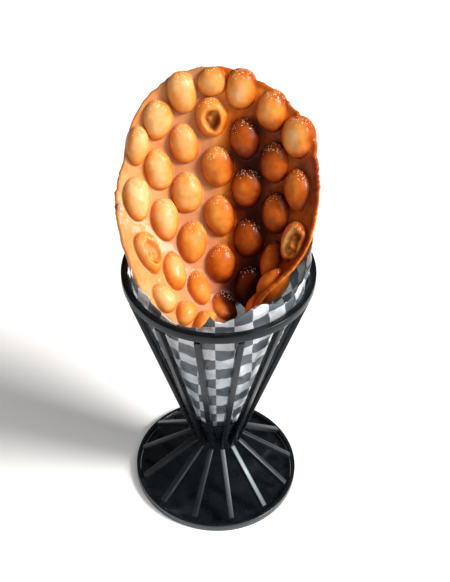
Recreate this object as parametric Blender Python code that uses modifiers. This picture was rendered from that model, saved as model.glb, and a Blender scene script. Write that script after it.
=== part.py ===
"""Bubble waffle rolled into a scoop, in a paper liner, standing in a black wire cone stand."""
import math

import bmesh
import bpy
import numpy as np
from mathutils import Matrix, Vector

# All sizes are in metres and all angles in degrees, with +Z up and the seen side towards -Y.
COLLECTION = "bubble_waffle_in_stand"
CUTTER_COLLECTION = "cutters"
CLEARANCE = 0.0003
FULL_TURN = 2 * math.pi

# Stand: flat base, sloping spokes, and a cone of bars under a ring.
BASE_RADIUS = 0.0635
PLATE_THICKNESS = 0.0015
RIM_THICKNESS = 0.003
RIM_HEIGHT = 0.0062
SPOKE_COUNT = 13
SPOKE_SIDE = 0.004
SPOKE_INNER_RADIUS = 0.0172
SPOKE_INNER_HEIGHT = 0.0418
SPOKE_OUTER_RADIUS = 0.0586
SPOKE_OUTER_HEIGHT = 0.0090
NECK_HEIGHT = 0.0432
NECK_RADIUS = 0.0165
LEAN_LEFT = 1.7
BAR_COUNT = 14
BAR_SIDE = 0.0042
BAR_PHASE = 2.7
BAR_FOOT_HEIGHT = 0.0449
RING_RADIUS = 0.0667
RING_WIDTH = 0.0046
RING_BOTTOM = 0.2100
RING_HEIGHT = 0.0065
CUP_BOTTOM = 0.0462
CUP_TOP = 0.0760
CUP_THICKNESS = 0.0012
ROUND_STEPS = 48
CUP_STEPS = 24

# Paper liner: a cone inside the bars, with its top edge higher on the right.
LINER_BOTTOM = 0.0560
LINER_TOP = 0.2150
LINER_THICKNESS = 0.0005
LINER_STEPS = 42
LINER_ROWS = 5
LINER_RISE_RIGHT = 0.0180
LINER_RISE_SPREAD = 55.0
LINER_RISE_MIDDLE = 78.0
LINER_FLARE = 0.12

# Waffle sheet laid flat: x runs across and y up it, from the middle of one bubble row.
PITCH_X = 0.0203
PITCH_Y = 0.0343
COLUMNS = 3
LONGEST_COLUMN = 7
LATTICE_MIDDLE = -0.5
WEB_THICKNESS = 0.0034
BUBBLE_HALF_WIDTH = 0.0104
BUBBLE_HALF_LENGTH = 0.0138
BUBBLE_HEIGHT_INNER = 0.0098
BUBBLE_HEIGHT_OUTER = 0.0092
BUBBLE_SEGMENTS = 12
BUBBLE_RINGS = 7
# Bubbles missing where the sheet is slit at the tip of the roll, as (column, row).
SLIT_BUBBLES = ((0, -3.5), (1, -3.0))
# Bubbles that sit off the even lattice: their own row, and how far they lie across from it.
MOVED_ROWS = {(0, 2.5): 2.18, (-3, 0.0): -0.05, (-3, -1.0): -1.14, (-2, -1.5): -1.57,
              (-3, -2.0): -2.22, (-2, -2.5): -2.66}
MOVED_ACROSS = {(-3, 1.0): 0.0042, (3, 1.0): -0.0022, (3, 0.0): -0.0026, (-2, 0.5): -0.0016,
                (-1, 2.0): -0.0014, (-1, 1.0): -0.0025, (-1, 0.0): -0.0025, (-1, -1.0): -0.0010,
                (0, 1.5): -0.0020}
# Bubbles of another size than the rest: shares of the usual width and length.
OWN_SIZES = {(0, 2.5): (0.98, 0.70), (-3, 1.0): (0.78, 1.0), (3, 1.0): (1.12, 1.0),
             (3, -1.0): (1.22, 1.02), (-3, -1.0): (1.10, 1.0), (-1, -1.0): (1.08, 1.0),
             (0, 1.5): (1.08, 1.0), (0, 0.5): (1.10, 1.0), (-3, 0.0): (1.0, 1.10),
             (-2, -0.5): (1.0, 1.06), (-1, 0.0): (1.05, 1.02)}
# Bubbles flatter on the outside, some where they lie against the ring, with their outer height.
PRESSED_BUBBLES = {(-3, -1.0): 0.0035, (-3, -2.0): 0.0060, (-3, 1.0): 0.0056, (-3, 0.0): 0.0072}
# Bubbles crowded together in the tip of the roll, with their own inner height.
CROWDED_BUBBLES = {(0, -2.5): 0.0070, (2, -2.5): 0.0064}
# Hollows in damaged bubbles: (column, row), then offset across, along and up, then half sizes.
HOLLOWS = (
    ((0, 1.5), (0.0006, -0.0012, 0.0105), (0.0056, 0.0062, 0.0066)),
    ((-3, -1.0), (0.0010, -0.0010, 0.0100), (0.0066, 0.0088, 0.0072)),
    ((3, -1.0), (0.0052, -0.0010, 0.0104), (0.0058, 0.0096, 0.0052)),
)

# Outline of the flat sheet: sides at these angles and distances from its middle, rounded together.
SHEET_MIDDLE_Y = -0.0154
SHEET_SIDES = ((0.0, 0.0782), (49.8, 0.0885), (90.0, 0.1040), (130.2, 0.0910), (171.4, 0.0762),
               (229.8, 0.1005), (270.0, 0.1060), (310.2, 0.0956))
SIDE_ROUNDING = 14
SLIT_ANGLE = -80.0
SLIT_SPREAD = 9.0
SLIT_DEPTH = 0.35
# Bulges and dips of the outline, as (angle, distance).
OUTLINE_TRIM = ((-180, 0.0032), (-168, 0.0020), (-155, 0.0), (0, 0.0), (14, -0.0006), (28, -0.0030),
                (40, -0.0006), (50, 0.0016), (60, 0.0014), (68, 0.0026), (76, 0.0), (84, -0.0010),
                (92, -0.0014), (99, -0.0002), (107, 0.0030), (118, 0.0034), (128, 0.0012),
                (138, -0.0022), (149, -0.0028), (158, 0.0004), (167, 0.0030), (180, 0.0032))
SHEET_CELLS = 20

# Roll of the sheet: a cone about a tilted axis, bent along its length and curled at the top.
TIP_BELOW = 0.096
CONE_HALF_ANGLE = 48.36
TIP_POINT = (0.0202, -0.0032, 0.1694)
AXIS_TILT_X = -17.3
AXIS_TILT_Y = -19.7
AXIS_TURN = -3.7
SHEET_TURN = -11.8
BEND_FROM = 0.078
BEND_PER_METRE = -1.83
CURL_FROM = 0.171
CURL_PER_METRE = 30.0
OVAL_EVEN = 0.172
OVAL_SLANT = 0.033
OVAL_THREE = -0.094
# Corners of the sheet pushed out of the roll: shift, then where it starts and ends on the sheet.
LEFT_SHIFT = (0.0033, -0.0014, -0.0084)
RIGHT_SHIFT = (-0.0127, 0.0105, 0.0083)
LOW_SHIFT = (-0.0142, 0.0092, -0.0043)
SIDE_REACH = 0.0812
CORNER_FROM = -0.0172
CORNER_REACH = 0.1029
LOW_FROM = -0.0343
LOW_ACROSS_FROM = 0.0406
LOW_ACROSS_REACH = 0.0711
NORMAL_STEP = 0.0005


def clear_scene():
    """Remove everything from the scene."""
    for item in list(bpy.data.objects):
        bpy.data.objects.remove(item, do_unlink=True)


def make_collection(name):
    """Return a new collection linked to the scene."""
    group = bpy.data.collections.new(name)
    bpy.context.scene.collection.children.link(group)
    return group


def make_material(name, colour, roughness, metallic=0.0):
    """Return a Principled material."""
    material = bpy.data.materials.new(name)
    material.use_nodes = True
    shader = material.node_tree.nodes["Principled BSDF"]
    shader.inputs["Base Color"].default_value = (*colour, 1.0)
    shader.inputs["Roughness"].default_value = roughness
    shader.inputs["Metallic"].default_value = metallic
    return material


def add_object(name, mesh, group, material=None):
    """Link a mesh as a named object, with its material."""
    item = bpy.data.objects.new(name, mesh)
    group.objects.link(item)
    if material:
        mesh.materials.append(material)
    return item


def mesh_from(name, build):
    """Return a mesh filled by a function that works on a bmesh."""
    shape = bmesh.new()
    build(shape)
    bmesh.ops.recalc_face_normals(shape, faces=shape.faces)
    mesh = bpy.data.meshes.new(name)
    shape.to_mesh(mesh)
    shape.free()
    return mesh


def turned_mesh(name, profile, steps, height_of=None):
    """Return a closed mesh made by turning a closed profile of (radius, height) about +Z."""
    def build(shape):
        rows = []
        for step in range(steps):
            angle = FULL_TURN * step / steps
            row = []
            for radius, height in profile:
                if height_of:
                    height = height_of(height, angle)
                point = (radius * math.sin(angle), -radius * math.cos(angle), height)
                row.append(shape.verts.new(point))
            rows.append(row)
        for step in range(steps):
            here, after = rows[step], rows[(step + 1) % steps]
            for index in range(len(profile)):
                follow = (index + 1) % len(profile)
                shape.faces.new((here[index], here[follow], after[follow], after[index]))
    return mesh_from(name, build)


def beam_mesh(name, start, end, side):
    """Return a square bar between two points, with one face turned to the stand's axis."""
    start, end = Vector(start), Vector(end)
    along = (end - start).normalized()
    middle = (start + end) / 2
    across = along.cross(Vector((middle.x, middle.y, 0.0))).normalized()
    outward = across.cross(along).normalized()
    turn = Matrix((across, outward, along)).transposed().to_4x4()
    size = Matrix.Diagonal((side, side, (end - start).length, 1.0))
    placed = Matrix.Translation(middle) @ turn @ size

    def build(shape):
        bmesh.ops.create_cube(shape, size=1.0, matrix=placed)
    return mesh_from(name, build)


def lean_matrix():
    """Return the small lean of the cone to the left, about the neck."""
    neck = Vector((0.0, 0.0, NECK_HEIGHT))
    lean = Matrix.Rotation(math.radians(-LEAN_LEFT), 4, "Y")
    return Matrix.Translation(neck) @ lean @ Matrix.Translation(-neck)


def bar_radius(height):
    """Return the radius of the bars' middle line at a height of the unleaned cone."""
    top = RING_RADIUS - RING_WIDTH / 2
    share = (height - NECK_HEIGHT) / (RING_BOTTOM - NECK_HEIGHT)
    return NECK_RADIUS + (top - NECK_RADIUS) * share


def inside_bars(height):
    """Return the radius that just clears the bars on the inside."""
    slope = math.atan2(bar_radius(RING_BOTTOM) - NECK_RADIUS, RING_BOTTOM - NECK_HEIGHT)
    return bar_radius(height) - BAR_SIDE / 2 / math.cos(slope) - CLEARANCE


def around(radius, angle, height):
    """Return a point at an angle from the front."""
    return (radius * math.sin(angle), -radius * math.cos(angle), height)


def build_base(group, metal):
    """Add the base plate, its rim and the spokes."""
    plate_radius = BASE_RADIUS - RIM_THICKNESS - CLEARANCE

    def build_plate(shape):
        bmesh.ops.create_cone(
            shape, cap_ends=True, segments=ROUND_STEPS, radius1=plate_radius,
            radius2=plate_radius, depth=PLATE_THICKNESS,
            matrix=Matrix.Translation((0.0, 0.0, PLATE_THICKNESS / 2)))
    add_object("base_plate", mesh_from("base_plate", build_plate), group, metal)
    inner = BASE_RADIUS - RIM_THICKNESS
    profile = ((inner, 0.0), (BASE_RADIUS, 0.0), (BASE_RADIUS, RIM_HEIGHT), (inner, RIM_HEIGHT))
    add_object("base_rim", turned_mesh("base_rim", profile, ROUND_STEPS), group, metal)
    for index in range(SPOKE_COUNT):
        angle = FULL_TURN * (index + 0.5) / SPOKE_COUNT
        name = "spoke_{:02d}".format(index + 1)
        start = around(SPOKE_INNER_RADIUS, angle, SPOKE_INNER_HEIGHT)
        end = around(SPOKE_OUTER_RADIUS, angle, SPOKE_OUTER_HEIGHT)
        add_object(name, beam_mesh(name, start, end, SPOKE_SIDE), group, metal)


def build_cone(group, metal):
    """Add the bars, the ring on top of them and the cup between their feet."""
    lean = lean_matrix()
    for index in range(BAR_COUNT):
        angle = FULL_TURN * (index + 0.5) / BAR_COUNT + math.radians(BAR_PHASE)
        name = "bar_{:02d}".format(index + 1)
        top = RING_BOTTOM - CLEARANCE - BAR_SIDE / 4
        start = around(bar_radius(BAR_FOOT_HEIGHT), angle, BAR_FOOT_HEIGHT)
        end = around(bar_radius(top), angle, top)
        mesh = beam_mesh(name, start, end, BAR_SIDE)
        mesh.transform(lean)
        add_object(name, mesh, group, metal)
    inner = RING_RADIUS - RING_WIDTH
    ring_top = RING_BOTTOM + RING_HEIGHT
    profile = ((inner, RING_BOTTOM), (RING_RADIUS, RING_BOTTOM), (RING_RADIUS, ring_top),
               (inner, ring_top))
    mesh = turned_mesh("top_ring", profile, ROUND_STEPS)
    mesh.transform(lean)
    add_object("top_ring", mesh, group, metal)
    low, high = inside_bars(CUP_BOTTOM), inside_bars(CUP_TOP)
    profile = ((low - CUP_THICKNESS, CUP_BOTTOM), (low, CUP_BOTTOM), (high, CUP_TOP),
               (high - CUP_THICKNESS, CUP_TOP))
    mesh = turned_mesh("neck_cup", profile, CUP_STEPS)
    mesh.transform(lean)
    add_object("neck_cup", mesh, group, metal)


def liner_height(height, angle):
    """Return a height on the liner, drawn up towards the higher edge on the right."""
    off = math.degrees(angle) - LINER_RISE_MIDDLE
    off = (off + 180.0) % 360.0 - 180.0
    rise = LINER_RISE_RIGHT * math.exp(-(off / LINER_RISE_SPREAD) ** 2)
    share = (height - LINER_BOTTOM) / (LINER_TOP - LINER_BOTTOM)
    return height + rise * share


def build_liner(group, paper):
    """Add the paper cone inside the bars."""
    gap = CUP_THICKNESS + CLEARANCE

    def build(shape):
        walls = ([], [])
        for row in range(LINER_ROWS + 1):
            height = LINER_BOTTOM + (LINER_TOP - LINER_BOTTOM) * row / LINER_ROWS
            for wall, inset in zip(walls, (gap, gap + LINER_THICKNESS)):
                loop = []
                for step in range(LINER_STEPS):
                    angle = FULL_TURN * step / LINER_STEPS
                    drawn = liner_height(height, angle)
                    radius = inside_bars(min(drawn, RING_BOTTOM)) - inset
                    radius += max(drawn - RING_BOTTOM, 0.0) * LINER_FLARE
                    loop.append(shape.verts.new(around(radius, angle, drawn)))
                wall.append(loop)
        outer, inner = walls
        for step in range(LINER_STEPS):
            follow = (step + 1) % LINER_STEPS
            for row in range(LINER_ROWS):
                for wall in walls:
                    shape.faces.new((wall[row][step], wall[row][follow],
                                     wall[row + 1][follow], wall[row + 1][step]))
            for row in (0, LINER_ROWS):
                shape.faces.new((outer[row][step], outer[row][follow],
                                 inner[row][follow], inner[row][step]))
    mesh = mesh_from("paper_liner", build)
    mesh.transform(lean_matrix())
    add_object("paper_liner", mesh, group, paper)


def ease(value):
    """Return a smooth step of an array between 0 and 1."""
    value = np.clip(value, 0.0, 1.0)
    return value * value * (3.0 - 2.0 * value)


def rolled(x, y):
    """Return points of the rolled sheet's middle surface, for arrays of flat coordinates."""
    turn = math.radians(SHEET_TURN)
    half = math.radians(CONE_HALF_ANGLE)
    across = x * math.cos(turn) - y * math.sin(turn)
    along = x * math.sin(turn) + y * math.cos(turn) + TIP_BELOW
    reach = np.hypot(across, along)
    angle = np.arctan2(across, along) / math.sin(half) + math.radians(AXIS_TURN)
    straight = np.minimum(reach, BEND_FROM)
    bent = half + BEND_PER_METRE * np.clip(reach - BEND_FROM, 0.0, CURL_FROM - BEND_FROM)
    curled = bent + CURL_PER_METRE * np.maximum(reach - CURL_FROM, 0.0)
    radius = (straight * math.sin(half) + (math.cos(half) - np.cos(bent)) / BEND_PER_METRE
              + (np.cos(bent) - np.cos(curled)) / CURL_PER_METRE)
    height = (straight * math.cos(half) + (np.sin(bent) - math.sin(half)) / BEND_PER_METRE
              + (np.sin(curled) - np.sin(bent)) / CURL_PER_METRE)
    radius = radius * (1.0 + OVAL_EVEN * (np.cos(2 * angle) - 1.0)
                       + OVAL_SLANT * np.sin(2 * angle) + OVAL_THREE * (np.cos(3 * angle) - 1.0))
    axis = np.array((math.sin(math.radians(AXIS_TILT_X)), math.sin(math.radians(AXIS_TILT_Y)), 1.0))
    axis = axis / np.linalg.norm(axis)
    back = np.array((0.0, 1.0, 0.0)) - axis * axis[1]
    back = back / np.linalg.norm(back)
    side = np.cross(back, axis)
    points = (np.array(TIP_POINT) + height[..., None] * axis
              + (radius * np.sin(angle))[..., None] * side
              + (radius * np.cos(angle))[..., None] * back)
    low = ease((CORNER_FROM - y) / CORNER_REACH)
    points = points + (ease(-x / SIDE_REACH) * low)[..., None] * np.array(LEFT_SHIFT)
    points = points + (ease(x / SIDE_REACH) * low)[..., None] * np.array(RIGHT_SHIFT)
    share = ease((LOW_FROM - y) / CORNER_REACH) * ease((LOW_ACROSS_FROM - x) / LOW_ACROSS_REACH)
    return points + share[..., None] * np.array(LOW_SHIFT)


def on_sheet(x, y, lift):
    """Return points at a lift off the rolled sheet, positive towards the hollow of the roll."""
    x, y, lift = np.broadcast_arrays(*(np.asarray(part, float) for part in (x, y, lift)))
    run = rolled(x + NORMAL_STEP, y) - rolled(x - NORMAL_STEP, y)
    rise = rolled(x, y + NORMAL_STEP) - rolled(x, y - NORMAL_STEP)
    normal = np.cross(run, rise)
    normal = normal / np.linalg.norm(normal, axis=-1, keepdims=True)
    return rolled(x, y) + lift[..., None] * normal


def sheet_reach(angle):
    """Return the distance from the sheet's middle to its outline, in one direction."""
    total = 0.0
    for side, distance in SHEET_SIDES:
        facing = max(math.cos(angle - math.radians(side)), 0.0)
        total += (facing / distance) ** SIDE_ROUNDING
    off = (math.degrees(angle) - SLIT_ANGLE + 180.0) % 360.0 - 180.0
    slit = SLIT_DEPTH * math.exp(-(off / SLIT_SPREAD) ** 2)
    places, extra = zip(*OUTLINE_TRIM)
    trim = np.interp(math.degrees(angle), places, extra)
    return total ** (-1.0 / SIDE_ROUNDING) * (1.0 - slit) + trim


def sheet_point(across, along):
    """Return flat coordinates for a point of the square from -1 to 1, laid on the outline."""
    length = max(abs(across), abs(along))
    if length == 0.0:
        return 0.0, SHEET_MIDDLE_Y
    round_x = across * math.sqrt(1.0 - along * along / 2)
    round_y = along * math.sqrt(1.0 - across * across / 2)
    share = math.hypot(round_x, round_y)
    angle = math.atan2(round_y, round_x)
    reach = share * sheet_reach(angle)
    return reach * math.cos(angle), SHEET_MIDDLE_Y + reach * math.sin(angle)


def bubble_list():
    """Return each bubble's lattice place and its flat coordinates."""
    bubbles = []
    for column in range(-COLUMNS, COLUMNS + 1):
        count = LONGEST_COLUMN - abs(column)
        for index in range(count):
            row = LATTICE_MIDDLE + index - (count - 1) / 2
            if (column, row) in SLIT_BUBBLES:
                continue
            placed = MOVED_ROWS.get((column, row), row)
            aside = MOVED_ACROSS.get((column, row), 0.0)
            bubbles.append(((column, row), column * PITCH_X + aside, placed * PITCH_Y))
    return bubbles


def sheet_mesh():
    """Return the middle surface of the rolled sheet as a grid."""
    cells = SHEET_CELLS
    flat = [sheet_point(2 * i / cells - 1, 2 * j / cells - 1)
            for j in range(cells + 1) for i in range(cells + 1)]
    flat = np.array(flat)
    points = on_sheet(flat[:, 0], flat[:, 1], 0.0)
    faces = []
    for j in range(cells):
        for i in range(cells):
            corner = j * (cells + 1) + i
            faces.append((corner, corner + 1, corner + cells + 2, corner + cells + 1))
    mesh = bpy.data.meshes.new("waffle")
    mesh.from_pydata([tuple(point) for point in points], [], faces)
    return mesh


def egg_mesh(name, x, y, middle_lift, sizes, lower):
    """Return an egg on the rolled sheet, with its own half height below the sheet."""
    def build(shape):
        bmesh.ops.create_uvsphere(shape, u_segments=BUBBLE_SEGMENTS, v_segments=BUBBLE_RINGS,
                                  radius=1.0)
        for vertex in shape.verts:
            spot = vertex.co
            height = sizes[2] if spot.z > 0 else lower
            placed = on_sheet(x + spot.x * sizes[0], y + spot.y * sizes[1],
                              middle_lift + spot.z * height)
            vertex.co = Vector(placed)
    return mesh_from(name, build)


def join_with(item, group, operation):
    """Apply one Boolean with every object of a collection, then remove those objects."""
    step = item.modifiers.new(operation.lower(), "BOOLEAN")
    step.operation = operation
    step.operand_type = "COLLECTION"
    step.collection = group
    step.solver = "EXACT"
    bpy.context.view_layer.objects.active = item
    bpy.ops.object.modifier_apply(modifier=step.name)
    for part in list(group.objects):
        bpy.data.objects.remove(part, do_unlink=True)


def build_waffle(group, cutters, baked):
    """Add the rolled waffle: a solid sheet joined with its bubbles, some of them hollowed."""
    item = add_object("waffle", sheet_mesh(), group, baked)
    thick = item.modifiers.new("web", "SOLIDIFY")
    thick.thickness = WEB_THICKNESS
    thick.offset = 0.0
    bpy.context.view_layer.objects.active = item
    bpy.ops.object.modifier_apply(modifier=thick.name)
    places = {}
    for place, x, y in bubble_list():
        places[place] = (x, y)
        upper = CROWDED_BUBBLES.get(place, BUBBLE_HEIGHT_INNER)
        wide, long = OWN_SIZES.get(place, (1.0, 1.0))
        sizes = (BUBBLE_HALF_WIDTH * wide, BUBBLE_HALF_LENGTH * long, upper)
        lower = PRESSED_BUBBLES.get(place, BUBBLE_HEIGHT_OUTER)
        cutters.objects.link(bpy.data.objects.new(
            "bubble", egg_mesh("bubble", x, y, 0.0, sizes, lower)))
    join_with(item, cutters, "UNION")
    for place, (across, along, up), half in HOLLOWS:
        x, y = places[place]
        cutters.objects.link(bpy.data.objects.new(
            "hollow", egg_mesh("hollow", x + across, y + along, up, half, half[2])))
    join_with(item, cutters, "DIFFERENCE")


def main():
    """Build every piece of the object."""
    clear_scene()
    group = make_collection(COLLECTION)
    cutters = make_collection(CUTTER_COLLECTION)
    cutters.hide_render = True
    metal = make_material("black powder-coated steel", (0.02, 0.022, 0.025), 0.45, 0.3)
    paper = make_material("checked greaseproof paper", (0.62, 0.63, 0.66), 0.7)
    baked = make_material("baked egg batter", (0.72, 0.38, 0.12), 0.55)
    build_base(group, metal)
    build_cone(group, metal)
    build_liner(group, paper)
    build_waffle(group, cutters, baked)


main()
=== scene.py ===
"""Bubble waffle rolled into a scoop, in a checked paper liner, in a black wire cone stand."""
import math

import bmesh
import bpy
import numpy as np
from bpy.props import FloatProperty, FloatVectorProperty, PointerProperty
from mathutils import Matrix, Quaternion, Vector


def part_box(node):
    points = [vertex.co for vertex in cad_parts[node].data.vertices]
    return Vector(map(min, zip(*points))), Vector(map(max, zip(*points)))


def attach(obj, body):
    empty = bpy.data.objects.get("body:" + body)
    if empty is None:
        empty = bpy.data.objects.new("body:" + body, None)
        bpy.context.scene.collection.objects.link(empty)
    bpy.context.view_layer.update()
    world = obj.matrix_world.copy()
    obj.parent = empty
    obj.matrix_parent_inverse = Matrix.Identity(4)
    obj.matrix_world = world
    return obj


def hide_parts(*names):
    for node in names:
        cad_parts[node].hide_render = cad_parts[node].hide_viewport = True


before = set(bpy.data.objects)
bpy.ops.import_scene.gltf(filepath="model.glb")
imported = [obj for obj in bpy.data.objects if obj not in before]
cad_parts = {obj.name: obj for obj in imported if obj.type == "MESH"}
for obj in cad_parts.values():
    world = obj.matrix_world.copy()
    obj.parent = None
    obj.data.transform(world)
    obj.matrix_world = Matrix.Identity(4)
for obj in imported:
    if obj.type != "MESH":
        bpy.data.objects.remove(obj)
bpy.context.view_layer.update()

bl_info = {
    "name": "Bubble waffle in a cone stand",
    "version": (1, 0, 0),
    "blender": (4, 5, 0),
    "location": "View3D > Sidebar > Waffle",
    "description": "Models a rolled bubble waffle, its paper liner and its wire stand",
    "category": "Add Mesh",
}

# All sizes are in metres and all angles in degrees, with +Z up and the seen side towards -Y.
FULL_TURN = 2 * math.pi
BODY = "root"
CLEARANCE = 0.0003

# Stand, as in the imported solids.
BASE_RADIUS = 0.0635
PLATE_THICKNESS = 0.0015
RIM_THICKNESS = 0.003
RIM_HEIGHT = 0.0062
SPOKE_COUNT = 13
SPOKE_SIDE = 0.004
SPOKE_INNER_RADIUS = 0.0172
SPOKE_INNER_HEIGHT = 0.0418
SPOKE_OUTER_RADIUS = 0.0586
SPOKE_OUTER_HEIGHT = 0.0090
NECK_HEIGHT = 0.0432
NECK_RADIUS = 0.0165
LEAN_LEFT = 1.7
BAR_COUNT = 14
BAR_SIDE = 0.0042
BAR_PHASE = 2.7
BAR_FOOT_HEIGHT = 0.0449
RING_RADIUS = 0.0667
RING_WIDTH = 0.0046
RING_BOTTOM = 0.2100
RING_HEIGHT = 0.0065
CUP_BOTTOM = 0.0462
CUP_TOP = 0.0760
CUP_THICKNESS = 0.0012
ROUND_STEPS = 96

# Paper liner: foot height, then its top edge as (angle from the front, height).
LINER_BOTTOM = 0.0560
LINER_EDGE = (
    (-180, .2150), (-125, .2160), (-95, .2215), (-75, .2240), (-60, .2245), (-45, .2225),
    (-36, .2190), (-28, .2155), (-10, .2155), (-6, .2215), (-3, .2310), (0, .2240), (5, .2210),
    (14, .2280), (24, .2365), (42, .2265), (62, .2215), (75, .2300), (90, .2400), (105, .2390),
    (122, .2270), (145, .2165), (180, .2150))
LINER_FLARE = 0.12
LINER_AROUND = 252
LINER_ROWS = 84
CRUMPLE_DEPTH = 0.0018
CRUMPLE_SIZES = (0.011, 0.0045)
FLUTE_DEPTH = 0.0020
FLUTE_COUNT = 11
# Pleats take up this many times the width of paper that shows.
PLEAT_TAKE_UP = 1.08

# Waffle sheet laid flat: x runs across and y up it, from the middle of one bubble row.
PITCH_X = 0.0203
PITCH_Y = 0.0343
COLUMNS = 3
LONGEST_COLUMN = 7
LATTICE_MIDDLE = -0.5
# Bubbles are named by (column, row). The roll's tip is slit where these two would meet.
SLIT_BUBBLES = ((0, -3.5), (1, -3.0))
# Bubbles that sit off the even lattice: their own row, and how far they lie across from it.
MOVED_ROWS = {(0, 2.5): 2.18, (-3, 0.0): -0.05, (-3, -1.0): -1.14, (-2, -1.5): -1.57,
              (-3, -2.0): -2.22, (-2, -2.5): -2.66}
MOVED_ACROSS = {(-3, 1.0): 0.0042, (3, 1.0): -0.0022, (3, 0.0): -0.0026, (-2, 0.5): -0.0016,
                (-1, 2.0): -0.0014, (-1, 1.0): -0.0025, (-1, 0.0): -0.0025, (-1, -1.0): -0.0010,
                (0, 1.5): -0.0020}
# Bubbles of another size than the rest: shares of the usual width and length.
OWN_SIZES = {(0, 2.5): (0.98, 0.70), (-3, 1.0): (0.78, 1.0), (3, 1.0): (1.12, 1.0),
             (3, -1.0): (1.22, 1.02), (-3, -1.0): (1.10, 1.0), (-1, -1.0): (1.08, 1.0),
             (0, 1.5): (1.08, 1.0), (0, 0.5): (1.10, 1.0), (-3, 0.0): (1.0, 1.10),
             (-2, -0.5): (1.0, 1.06), (-1, 0.0): (1.05, 1.02)}
# Bubbles flatter on the outside, crowded on the inside, or broken open, with their heights;
# a broken one has the hole's place, half sizes and depth.
PRESSED_BUBBLES = {(-3, -1.0): 0.0035, (-3, -2.0): 0.0060, (-3, 1.0): 0.0056, (-3, 0.0): 0.0072}
CROWDED_BUBBLES = {(0, -2.5): 0.0070, (2, -2.5): 0.0064}
BROKEN_BUBBLES = {
    (0, 1.5): ((0.0006, -0.0016), (0.0060, 0.0076), 0.0078),
    (-3, -1.0): ((0.0010, 0.0000), (0.0078, 0.0086), 0.0058),
    (3, -1.0): ((0.0050, -0.0010), (0.0066, 0.0100), 0.0040),
}
# Scorching of the broken bubbles' insides: share everywhere, and at the lower right.
HOLE_SCORCH = {(0, 1.5): (0.50, 0.95), (-3, -1.0): (0.32, 0.32), (3, -1.0): (0.05, 0.60)}
# Bubbles browner (above 0) or paler than their neighbours, in steps of browning: partly their own tone,
# partly painted shade on the shaded middle and right bubbles and painted light on the lit left ones.
OWN_TONE_AND_PAINTED_LIGHT = {(0, -1.5): 3.3, (2, 0.5): 3.0, (1, -1.0): 2.5, (1, 1.0): 2.5, (1, 0.0): 2.0,
                (0, 0.5): 1.3, (2, -0.5): 1.5, (0, -0.5): 1.0, (-1, -2.0): 1.3, (2, 1.5): 2.6,
                (1, 2.0): 1.0, (-1, 2.0): -2.0, (-2, 1.5): -1.6, (-3, 0.0): -2.0, (-1, 0.0): -1.8,
                (-2, -0.5): -2.2, (-3, 1.0): -0.8, (3, -1.0): -4.0, (0, 1.5): 1.0}
# Lumps of batter left in the broken bubbles: place off the bubble's middle, and radius.
CRUMBS_INSIDE = {(0, 1.5): (((-0.0008, -0.0010), 0.0024), ((0.0026, 0.0022), 0.0016)),
                 (-3, -1.0): (((-0.0016, -0.0040), 0.0022), ((0.0030, 0.0016), 0.0014)),
                 (3, -1.0): (((0.0040, 0.0040), 0.0020), ((0.0066, -0.0030), 0.0024),
                             ((0.0030, -0.0066), 0.0016))}
# Scorched spots on the web and bubbles: flat place, and radius.
SCORCHED_SPOTS = (((0.0560, 0.0560), 0.0030), ((-0.0775, 0.0060), 0.0030), ((-0.0770, -0.0060), 0.0028),
                  ((0.0690, -0.0300), 0.0050), ((0.0520, -0.0660), 0.0030),
                  ((-0.0600, -0.0462), 0.0015))
SHEET_MIDDLE_Y = -0.0154
# Sides of the outline, as (direction, distance from the middle), and the slit at the tip.
SHEET_SIDES = ((0.0, 0.0782), (49.8, 0.0885), (90.0, 0.1040), (130.2, 0.0910), (171.4, 0.0762),
               (229.8, 0.1005), (270.0, 0.1060), (310.2, 0.0956))
SIDE_ROUNDING = 14
SLIT_ANGLE = -80.0
SLIT_SPREAD = 9.0
SLIT_DEPTH = 0.35
# Bulges and dips of the outline, as (angle, distance).
OUTLINE_TRIM = ((-180, 0.0032), (-168, 0.0020), (-155, 0.0), (0, 0.0), (14, -0.0006), (28, -0.0030),
                (40, -0.0006), (50, 0.0016), (60, 0.0014), (68, 0.0026), (76, 0.0), (84, -0.0010),
                (92, -0.0014), (99, -0.0002), (107, 0.0030), (118, 0.0034), (128, 0.0012),
                (138, -0.0022), (149, -0.0028), (158, 0.0004), (167, 0.0030), (180, 0.0032))
SHEET_CELLS = (176, 220)
# The rim turns ragged between the first two directions and even again between the last two.
RAGGED_ANGLES = (8.0, 22.0, 68.0, 82.0)
EDGE_WIDTH = 0.0060

# How far bubbles differ at random: size, turn, egg shape and height.
SIZE_SPREAD = (0.99, 1.03)
TURN_SPREAD = (-9.0, 9.0)
EGG_SPREAD = (-0.10, 0.10)
HEIGHT_SPREAD = (0.92, 1.03)
# Bubbles stand lower on the outside, with steep sides and a slightly uneven foot.
OUTER_HEIGHT = 0.94
STEEPNESS = 0.88
FOOT_WOBBLE = 0.035
FOOT_WOBBLE_SIZE = 0.008
FOOT_WOBBLE_SEED = 100
# A broken bubble's hole, in shares of its size: where the skin falls, tears and stands up.
FALL_AT = (0.62, 1.08)
TORN_TO = (1.05, 1.25)
LIP_AT = 1.12
LIP_WIDTH = 0.10

# Relief in layers of (height, lump size, seed), and how far in the nibbled rim lies.
RIM_NIBBLES = ((0.0006, 0.0050, 3), (0.0004, 0.0017, 4))
RIM_INSET = 0.00056
RAGGED_NIBBLES = ((0.0011, 0.0041, 17),)
RAGGED_INSET = 0.00099
WEB_WAVES = ((0.00024, 0.0062, 5), (0.00014, 0.0026, 6))
BUBBLE_LUMPS = ((0.00035, 0.0055, 8), (0.00016, 0.0021, 9))
HOLE_WOBBLE = ((0.16, 0.0034, 12),)
HOLE_FLOOR = ((0.0011, 0.0019, 13),)
HOLE_DOME = 0.0012
LIP_HEIGHT = 0.0006
LIP_ROUGHNESS = ((1.0, 0.0022, 14),)
SPOT_WOBBLE = ((0.5, 0.0024, 15),)
RIM_SCORCH = ((0.3, 0.004, 16),)
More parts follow.
